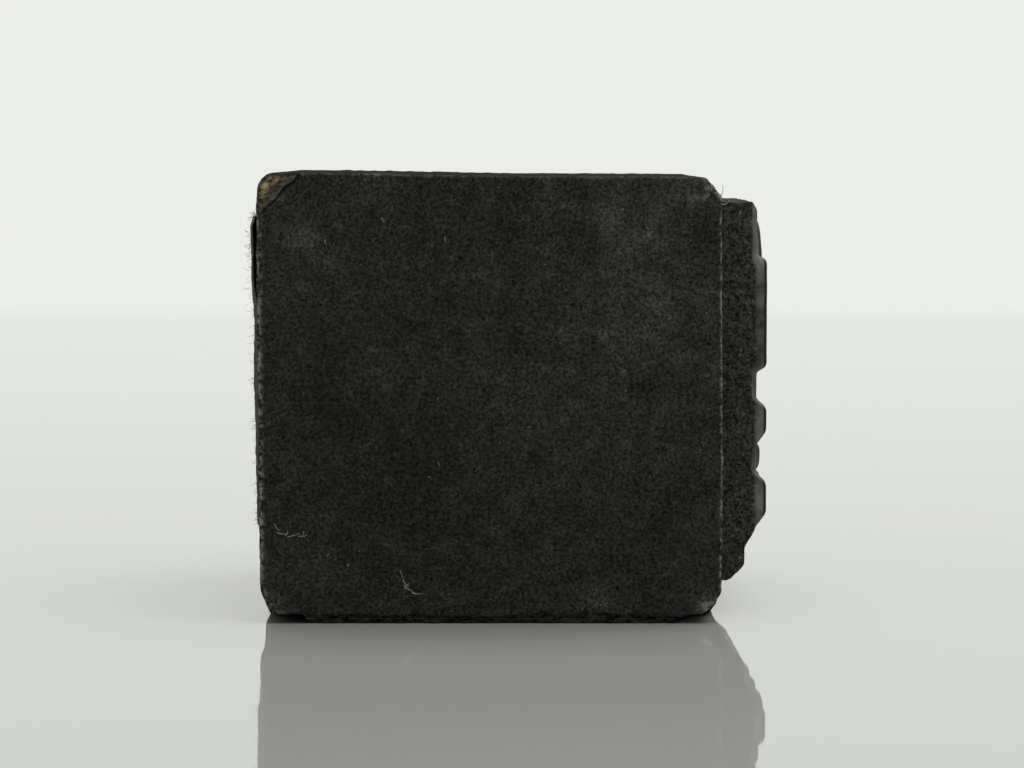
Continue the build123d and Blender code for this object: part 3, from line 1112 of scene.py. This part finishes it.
# Table and backdrop: a glazed white board that the stamp lies on. Behind the stamp it sweeps up
# into a wall, and its glaze gives way to a matt and evenly lit white. Its sizes are in metres.
floor_front = -0.7
floor_cut = 0.4
floor_back = 0.45
cove_radius = 0.08
cove_steps = 24
wall_height = 0.6
half_width = 0.7
glaze_ends = 0.31
matt_starts = 0.44
mirrored_wall_boost = 0.11
white_strength = 1.0
wall_white = linear("ebedea")


def sweep():
    """Floor, cove and wall as one profile of straight, quarter circle and straight, carried along X.
    The floor is cut once behind the stamp, and is flat-shaded up to there, so that it mirrors truly."""
    turn = np.linspace(0, math.pi / 2, cove_steps)
    wall_y = floor_back + cove_radius
    y = np.concatenate([[floor_front, floor_cut], floor_back + cove_radius * np.sin(turn), [wall_y]])
    z = np.concatenate([[0, 0], cove_radius * (1 - np.cos(turn)), [wall_height]])
    left = np.stack([np.full(len(y), -half_width), y, z], axis=1)
    right = left * [-1, 1, 1]
    i = np.arange(len(y) - 1)
    return np.concatenate([left, right]), np.stack([i, i + len(y), i + len(y) + 1, i + 1], axis=1)


def glazed_board():
    """Glazed white board: pale, with a clear mirror-like gloss that grows towards grazing angles. Far
    back, what the camera and the gloss see of it is an even white."""
    glazed = linear("b1b3b0")
    matt = linear("f0f1ef")
    material, nodes, place = new_material("glazed_board")
    far = add(nodes, "ShaderNodeSeparateXYZ", {"Vector": place}, output="Y")
    far = add(nodes, "ShaderNodeMapRange", {
        "Value": far, "From Min": glaze_ends, "From Max": matt_starts,
    }, interpolation_type="SMOOTHSTEP")
    colour = add(nodes, "ShaderNodeMix", {
        mix_share: far, mix_from: glazed, mix_to: matt,
    }, output=mixed, data_type="RGBA")
    board = add(nodes, "ShaderNodeBsdfPrincipled", {"Base Color": colour, "Roughness": 0.03})
    camera_ray = add(nodes, "ShaderNodeLightPath", {}, output="Is Camera Ray")
    glossy_ray = add(nodes, "ShaderNodeLightPath", {}, output="Is Glossy Ray")
    seen = add(nodes, "ShaderNodeMath", {0: camera_ray, 1: glossy_ray}, operation="ADD", use_clamp=True)
    seen = add(nodes, "ShaderNodeMath", {0: seen, 1: far}, operation="MULTIPLY")
    level = add(nodes, "ShaderNodeMath", {
        0: glossy_ray, 1: mirrored_wall_boost, 2: white_strength,
    }, operation="MULTIPLY_ADD")
    wall = add(nodes, "ShaderNodeEmission", {"Color": wall_white, "Strength": level})
    shader = add(nodes, "ShaderNodeMixShader", {0: seen, 1: board, 2: wall})
    add(nodes, "ShaderNodeOutputMaterial", {"Surface": shader})
    return material


sweep_points, sweep_faces = sweep()
sweep_mesh = bpy.data.meshes.new("table_and_backdrop")
sweep_mesh.from_pydata(sweep_points.tolist(), [], sweep_faces.tolist())
curved = np.ones(len(sweep_faces), bool)
curved[[0, -1]] = False
sweep_mesh.polygons.foreach_set("use_smooth", curved)
sweep_mesh.materials.append(glazed_board())
table = bpy.data.objects.new("table_and_backdrop", sweep_mesh)
bpy.context.scene.collection.objects.link(table)

# Studio light: an even pale surround that the camera sees as the wall's white, and one large soft
# lamp overhead, a little towards the die's side and the front.
surround_white = linear("ffffff")
surround_strength = 0.36
lamp_side = 0.6
lamp_watts = 3.0
lamp_place = (0.12, -0.06, 0.55)
lamp_tilt = (math.radians(-6), math.radians(12), 0)
world = bpy.data.worlds.new("studio")
bpy.context.scene.world = world
world.use_nodes = True
world_nodes = world.node_tree.nodes
world_nodes.clear()
seen_by_camera = add(world_nodes, "ShaderNodeLightPath", {}, output="Is Camera Ray")
surround = add(world_nodes, "ShaderNodeBackground", {
    "Color": surround_white, "Strength": surround_strength,
})
seen_surround = add(world_nodes, "ShaderNodeBackground", {
    "Color": wall_white, "Strength": white_strength,
})
shown = add(world_nodes, "ShaderNodeMixShader", {0: seen_by_camera, 1: surround, 2: seen_surround})
add(world_nodes, "ShaderNodeOutputWorld", {"Surface": shown})

lamp_data = bpy.data.lights.new("overhead_softbox", "AREA")
lamp_data.shape = "RECTANGLE"
lamp_data.size = lamp_side
lamp_data.size_y = lamp_side
lamp_data.energy = lamp_watts
lamp = bpy.data.objects.new("overhead_softbox", lamp_data)
lamp.location = lamp_place
lamp.rotation_euler = lamp_tilt
bpy.context.scene.collection.objects.link(lamp)

# Camera: a long lens just above the stamp's head, a little to the right of its middle, and tilted
# down slightly. Its focal length is in pixels of the picture's width.
focal_pixels = 3509
image_width_pixels = 1024
sensor_width_mm = 36
camera_distance = 188.8 * mm
camera_height = 25.56 * mm
camera_aside = 1.146 * mm
camera_pitch = math.radians(3.801)
camera_data = bpy.data.cameras.new("camera")
camera_data.sensor_width = sensor_width_mm
camera_data.lens = focal_pixels / image_width_pixels * sensor_width_mm
camera = bpy.data.objects.new("camera", camera_data)
camera.location = (camera_aside, -half_depth - camera_distance, camera_height)
camera.rotation_euler = (math.radians(90) - camera_pitch, 0, 0)
bpy.context.scene.collection.objects.link(camera)
bpy.context.scene.camera = camera
bpy.context.scene.view_settings.view_transform = "Standard"
